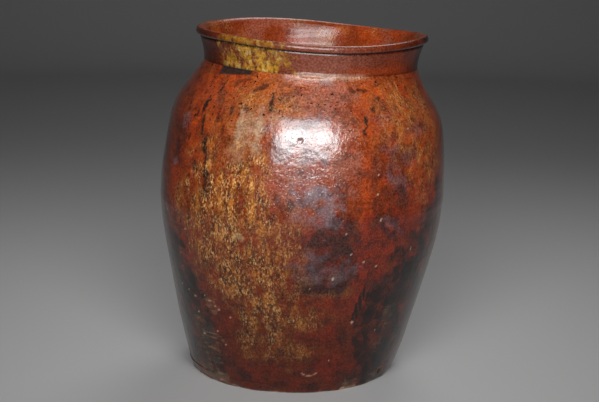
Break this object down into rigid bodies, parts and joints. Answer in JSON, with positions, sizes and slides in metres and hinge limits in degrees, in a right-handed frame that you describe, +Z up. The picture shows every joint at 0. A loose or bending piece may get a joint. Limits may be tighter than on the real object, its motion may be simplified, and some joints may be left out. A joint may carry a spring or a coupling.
{
  "type": "stoneware jar",
  "caption": "Open, wide-mouthed stoneware storage jar with an ovoid body, a flaring collar and a thin rolled lip.",
  "frame": {"origin": "middle of the base, on the floor", "axes": "+Z up, -Y towards the front that the picture shows, +X to the right; the body leans towards +X"},
  "size_m": [0.3186, 0.3172, 0.3861],
  "materials": {
    "rust_glaze": "mottled rust and ochre glaze, glossy with an orange-peel skin",
    "bare_clay": "bare fired clay, matt and rubbed pale"
  },
  "bodies": {
    "root": {"floor_slab": "bare_clay", "lower_wall": "rust_glaze", "upper_wall": "rust_glaze", "collar": "rust_glaze", "rolled_lip": "rust_glaze"}
  },
  "joints": []
}
